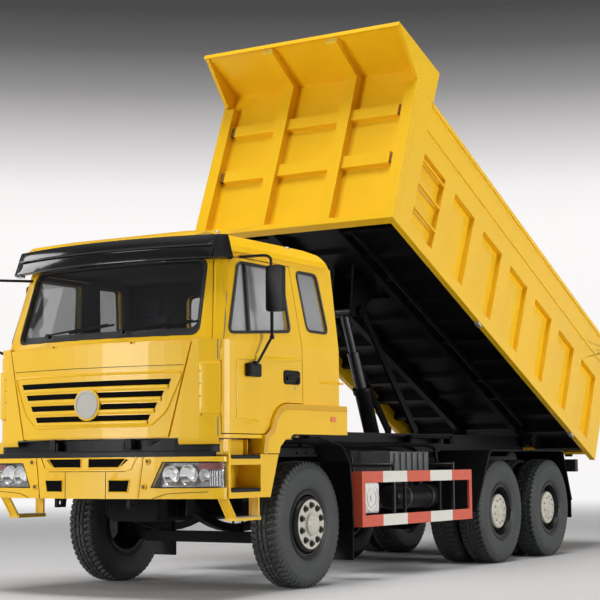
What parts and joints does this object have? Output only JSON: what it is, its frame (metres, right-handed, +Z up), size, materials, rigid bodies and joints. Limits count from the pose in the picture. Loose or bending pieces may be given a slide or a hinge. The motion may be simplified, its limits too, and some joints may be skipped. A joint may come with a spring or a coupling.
{
  "type": "dump truck",
  "caption": "Yellow dump truck with a forward cab, ribbed steel tipping bed with a cab shield, twin rear wheels, tilting cab, opening doors and steered front wheels.",
  "frame": {"origin": "on the ground under the middle of the overall box", "axes": "+X to the truck's left, -Y to its front, +Z up"},
  "size_m": [2.83, 9.1614, 5.4963],
  "materials": {
    "frame_black": "satin black chassis paint",
    "axle_iron": "black painted castings and forgings",
    "cab_yellow": "gloss yellow enamel",
    "dark_plastic": "grained dark plastic",
    "lamp_lens": "clear lamp lens over reflectors",
    "tail_red": "red lens",
    "guard_red": "red and white bands",
    "tank_metal": "satin black",
    "window_glass": "lightly tinted glass",
    "seat_cloth": "woven seat cloth",
    "tyre_rubber": "black rubber with road tread",
    "wheel_cream": "cream enamel on pressed steel",
    "wheel_black": "black enamel with a cream hub",
    "rod_chrome": "hard chromed stages"
  },
  "bodies": {
    "chassis": {"frame_rails": "frame_black", "subframe": "frame_black", "front_bumper": "cab_yellow", "bumper_step": "dark_plastic", "headlamps": "lamp_lens", "cab_steps": "cab_yellow", "mudguards": "frame_black", "front_axle": "axle_iron", "leaf_springs": "frame_black", "rear_axles": "axle_iron", "engine": "axle_iron", "propshafts": "axle_iron", "side_guards": "guard_red", "fuel_tank": "tank_metal", "air_tanks": "frame_black", "battery_box": "frame_black", "tail_lamps": "tail_red"},
    "cab": {"cab_shell": "cab_yellow", "cab_roof": "cab_yellow", "sun_visor": "dark_plastic", "cab_glass": "window_glass", "seats": "seat_cloth", "dashboard": "dark_plastic", "kerb_mirror": "dark_plastic"},
    "front_flap": {"front_flap": "cab_yellow"},
    "door_left": {"door_left": "cab_yellow", "door_glass_left": "window_glass", "door_mirror_left": "dark_plastic"},
    "door_right": {"door_right": "cab_yellow", "door_glass_right": "window_glass", "door_mirror_right": "dark_plastic"},
    "knuckle_left": {"knuckle_left": "axle_iron"},
    "knuckle_right": {"knuckle_right": "axle_iron"},
    "tie_rod": {"tie_rod": "axle_iron"},
    "front_wheel_left": {"front_tyre_left": "tyre_rubber", "front_wheel_left": "wheel_cream"},
    "front_wheel_right": {"front_tyre_right": "tyre_rubber", "front_wheel_right": "wheel_cream"},
    "mid_wheels_left": {"mid_tyres_left": "tyre_rubber", "mid_wheels_left": "wheel_black"},
    "mid_wheels_right": {"mid_tyres_right": "tyre_rubber", "mid_wheels_right": "wheel_black"},
    "rear_wheels_left": {"rear_tyres_left": "tyre_rubber", "rear_wheels_left": "wheel_black"},
    "rear_wheels_right": {"rear_tyres_right": "tyre_rubber", "rear_wheels_right": "wheel_black"},
    "bed": {"bed_floor": "frame_black", "bed_sides": "cab_yellow", "bed_headboard": "cab_yellow"},
    "tailgate": {"tailgate": "cab_yellow"},
    "hoist_barrel": {"hoist_barrel": "frame_black"},
    "hoist_sleeve": {"hoist_sleeve": "rod_chrome"},
    "hoist_rod": {"hoist_rod": "rod_chrome"},
    "lift_arms": {"lift_arms": "frame_black"}
  },
  "joints": [
    {"name": "bed_tip", "type": "hinge", "parent": "chassis", "child": "bed", "pos_m": [0, 3.35329, 1.33], "axis": [-1, 0, 0], "range_deg": [-24.5, 20.5]},
    {"name": "tailgate_swing", "type": "hinge", "parent": "bed", "child": "tailgate", "pos_m": [0, 4.53268, 2.47831], "axis": [1, 0, 0], "range_deg": [0, 65]},
    {"name": "cab_tilt", "type": "hinge", "parent": "chassis", "child": "cab", "pos_m": [0, -4.49071, 1.245], "axis": [1, 0, 0], "range_deg": [0, 50]},
    {"name": "flap_lift", "type": "hinge", "parent": "cab", "child": "front_flap", "pos_m": [0, -4.46071, 2.082], "axis": [-1, 0, 0], "range_deg": [0, 70]},
    {"name": "door_left_swing", "type": "hinge", "parent": "cab", "child": "door_left", "pos_m": [1.177, -4.29271, 1.7], "axis": [0, 0, -1], "range_deg": [0, 70]},
    {"name": "door_right_swing", "type": "hinge", "parent": "cab", "child": "door_right", "pos_m": [-1.177, -4.29271, 1.7], "axis": [0, 0, 1], "range_deg": [0, 70]},
    {"name": "steer_left", "type": "hinge", "parent": "chassis", "child": "knuckle_left", "pos_m": [0.845, -2.89071, 0.556], "axis": [0, 0, 1], "range_deg": [-35, 35]},
    {"name": "steer_right", "type": "hinge", "parent": "chassis", "child": "knuckle_right", "pos_m": [-0.845, -2.89071, 0.556], "axis": [0, 0, 1], "range_deg": [-35, 35]},
    {"name": "tie_rod_swing", "type": "hinge", "parent": "knuckle_left", "child": "tie_rod", "pos_m": [0.845, -2.69071, 0.41], "axis": [0, 0, 1], "range_deg": [-35, 35]},
    {"name": "front_left_spin", "type": "hinge", "parent": "knuckle_left", "child": "front_wheel_left", "pos_m": [1.005, -2.89071, 0.556], "axis": [1, 0, 0], "continuous": true},
    {"name": "front_right_spin", "type": "hinge", "parent": "knuckle_right", "child": "front_wheel_right", "pos_m": [-1.005, -2.89071, 0.556], "axis": [1, 0, 0], "continuous": true},
    {"name": "mid_left_spin", "type": "hinge", "parent": "chassis", "child": "mid_wheels_left", "pos_m": [0.93, 0.95929, 0.556], "axis": [1, 0, 0], "continuous": true},
    {"name": "mid_right_spin", "type": "hinge", "parent": "chassis", "child": "mid_wheels_right", "pos_m": [-0.93, 0.95929, 0.556], "axis": [1, 0, 0], "continuous": true},
    {"name": "rear_left_spin", "type": "hinge", "parent": "chassis", "child": "rear_wheels_left", "pos_m": [0.93, 2.30929, 0.556], "axis": [1, 0, 0], "continuous": true},
    {"name": "rear_right_spin", "type": "hinge", "parent": "chassis", "child": "rear_wheels_right", "pos_m": [-0.93, 2.30929, 0.556], "axis": [1, 0, 0], "continuous": true},
    {"name": "hoist_swing", "type": "hinge", "parent": "chassis", "child": "hoist_barrel", "pos_m": [0, 0.43929, 1.1], "axis": [-1, 0, 0], "range_deg": [-50, 50]},
    {"name": "sleeve_slide", "type": "slide", "parent": "hoist_barrel", "child": "hoist_sleeve", "axis": [0, -0.4123, 0.911], "range_m": [-0.3979, 0.3979]},
    {"name": "rod_slide", "type": "slide", "parent": "hoist_sleeve", "child": "hoist_rod", "axis": [0, -0.4123, 0.911], "range_m": [-0.3979, 0.3979]},
    {"name": "lift_arm_swing", "type": "hinge", "parent": "bed", "child": "lift_arms", "pos_m": [0, -0.18553, 2.70646], "axis": [1, 0, 0], "range_deg": [-24, 24]}
  ],
  "couplings": [
    {"joint": "steer_right", "follows": "steer_left", "ratio": 1},
    {"joint": "tie_rod_swing", "follows": "steer_left", "ratio": -1},
    {"joint": "hoist_swing", "follows": "bed_tip", "ratio": 1.95},
    {"joint": "sleeve_slide", "follows": "bed_tip", "m_per_rad": 0.9259},
    {"joint": "rod_slide", "follows": "bed_tip", "m_per_rad": 0.9259},
    {"joint": "lift_arm_swing", "follows": "bed_tip", "ratio": -0.9}
  ]
}
